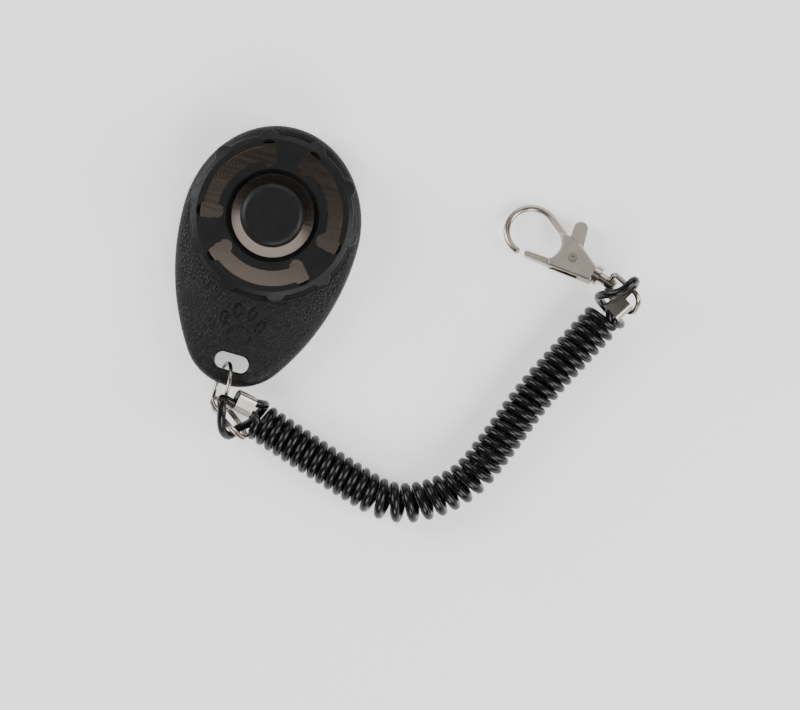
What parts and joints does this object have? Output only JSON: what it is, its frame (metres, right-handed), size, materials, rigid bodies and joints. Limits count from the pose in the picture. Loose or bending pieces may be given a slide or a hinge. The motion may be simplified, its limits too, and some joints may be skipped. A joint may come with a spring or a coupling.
{
  "type": "clicker trainer",
  "caption": "Egg-shaped training clicker with a raised push button and pierced lugged disc, on a coiled wrist cord with split ring and trigger snap.",
  "frame": {"origin": "under the middle of the case, on the surface that the case lies on, halfway along its length and width", "axes": "+Y to the wide end of the case with the button, -Y to the slotted tip, +Z out of the front face, +X to the side on which the cord lies"},
  "size_m": [0.1157, 0.0877, 0.0175],
  "materials": {
    "case_shell": "fine leather grain, satin on the raised disc",
    "button_cap": "fine matte",
    "spring_steel": "rolled strip",
    "nickel_wire": "plated, polished",
    "nickel_sleeve": "plated, slightly dull",
    "nickel_cast": "plated casting, soft polish",
    "cord_jacket": "smooth, semi-gloss"
  },
  "bodies": {
    "case": {"front_cover": "case_shell", "rear_cover": "case_shell", "click_plate": "spring_steel"},
    "button": {"button": "button_cap", "button_retainer": "spring_steel"},
    "slot_ring": {"slot_ring": "nickel_wire"},
    "split_ring": {"split_ring": "nickel_wire"},
    "cord": {"crimp_case": "nickel_sleeve", "cord_loop_case": "cord_jacket", "coil_cord": "cord_jacket", "cord_loop_snap": "cord_jacket", "crimp_snap": "nickel_sleeve"},
    "swivel_loop": {"swivel_loop": "nickel_wire"},
    "snap": {"swivel_post": "nickel_cast", "snap_body": "nickel_cast", "lever_rivet": "nickel_wire", "lever_spring": "spring_steel"},
    "lever": {"snap_lever": "nickel_cast"}
  },
  "joints": [
    {"name": "button_press", "type": "slide", "parent": "case", "child": "button", "axis": [0, 0, -1], "range_m": [0, 0.001], "stiffness_N_per_m": 3000, "deforming": ["click_plate"]},
    {"name": "slot_ring_swing", "type": "hinge", "parent": "case", "child": "slot_ring", "pos_m": [-0.0006, -0.031, 0.0066], "axis": [0, 0, 1], "range_deg": [-15, 10]},
    {"name": "split_ring_swing", "type": "hinge", "parent": "slot_ring", "child": "split_ring", "pos_m": [-0.0006, -0.0399, 0.0066], "axis": [0, 0, 1], "range_deg": [-15, 0]},
    {"name": "cord_swing", "type": "hinge", "parent": "split_ring", "child": "cord", "pos_m": [0.0075, -0.0435, 0.0071], "axis": [0, 0, 1], "range_deg": [-2.5, 2]},
    {"name": "snap_loop_swing", "type": "hinge", "parent": "cord", "child": "swivel_loop", "pos_m": [0.08934, 0.01804, 0.01117], "axis": [0.8578, -0.43, 0.2817], "range_deg": [-2, 40]},
    {"name": "snap_swivel", "type": "hinge", "parent": "swivel_loop", "child": "snap", "pos_m": [0.0848, 0.01775, 0.0068], "axis": [0.945, -0.2871, 0.1564], "continuous": true},
    {"name": "lever_press", "type": "hinge", "parent": "snap", "child": "lever", "pos_m": [0.07431, 0.02094, 0.00506], "axis": [0.0693, -0.2916, -0.954], "range_deg": [0, 24], "stiffness_Nm_per_rad": 0.02}
  ]
}
